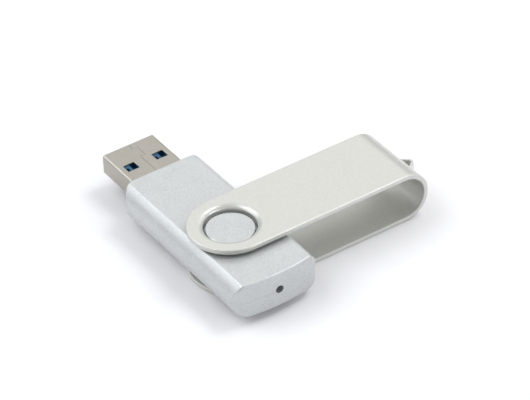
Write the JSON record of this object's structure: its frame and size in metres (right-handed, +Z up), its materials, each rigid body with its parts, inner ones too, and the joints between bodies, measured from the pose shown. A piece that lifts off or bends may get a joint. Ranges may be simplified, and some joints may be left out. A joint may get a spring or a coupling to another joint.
{
  "type": "usb flash drive",
  "caption": "Swivel-cover USB flash drive: silver two-shell case with a type A plug and a folded metal cover that turns about a round boss and carries a lanyard strap.",
  "frame": {"origin": "centre of the footprint at rest, on the surface that the cover's lower plate lies on", "axes": "+X from the plug towards the rounded tail of the case, +Y from the pivot towards the cover's bend as the drive lies half open, +Z up along the pivot axis"},
  "size_m": [0.0532, 0.053, 0.011],
  "materials": {
    "cover_metal": "warm silver satin paint over fine blasted sheet metal",
    "case_paint": "cool silver satin paint with a very fine metallic sparkle on moulded ABS",
    "plug_steel": "satin nickel-plated steel, warm grey",
    "insulator_blue": "moulded blue plastic, slight gloss",
    "spacer_black": "moulded black plastic",
    "contact_gold": "gold-plated spring metal",
    "board_green": "glass-fibre board under glossy green solder mask",
    "solder_tin": "bright tin solder",
    "chip_black": "fine-textured black epoxy moulding",
    "lead_tin": "tin-plated, satin",
    "ceramic_grey": "fired grey ceramic",
    "lid_steel": "plated flat lid",
    "capacitor_tan": "tan ceramic",
    "resistor_dark": "dark glazed ceramic",
    "light_white": "white moulded base",
    "light_clear": "water-clear epoxy"
  },
  "bodies": {
    "drive_body": {"upper_shell": "case_paint", "lower_shell": "case_paint", "plug_shell": "plug_steel", "plug_insulator": "insulator_blue", "contact_spacer": "spacer_black", "power_contact": "contact_gold", "data_minus_contact": "contact_gold", "data_plus_contact": "contact_gold", "ground_contact": "contact_gold", "fast_receive_minus_contact": "contact_gold", "fast_receive_plus_contact": "contact_gold", "fast_ground_contact": "contact_gold", "fast_transmit_minus_contact": "contact_gold", "fast_transmit_plus_contact": "contact_gold", "circuit_board": "board_green", "tab_solder_joints": "solder_tin", "flash_chip": "chip_black", "flash_leads": "lead_tin", "controller_chip": "chip_black", "controller_terminals": "lead_tin", "crystal_base": "ceramic_grey", "crystal_lid": "lid_steel", "regulator_chip": "chip_black", "regulator_leads": "lead_tin", "capacitor_bodies": "capacitor_tan", "capacitor_terminals": "lead_tin", "resistor_bodies": "resistor_dark", "resistor_terminals": "lead_tin", "status_light_base": "light_white", "status_light_lens": "light_clear"},
    "cover": {"swivel_cover": "cover_metal"}
  },
  "joints": [
    {"name": "cover_swivel", "type": "hinge", "parent": "drive_body", "child": "cover", "pos_m": [0.0102, -0.01673, 0.0055], "axis": [0, 0, 1], "continuous": true}
  ]
}
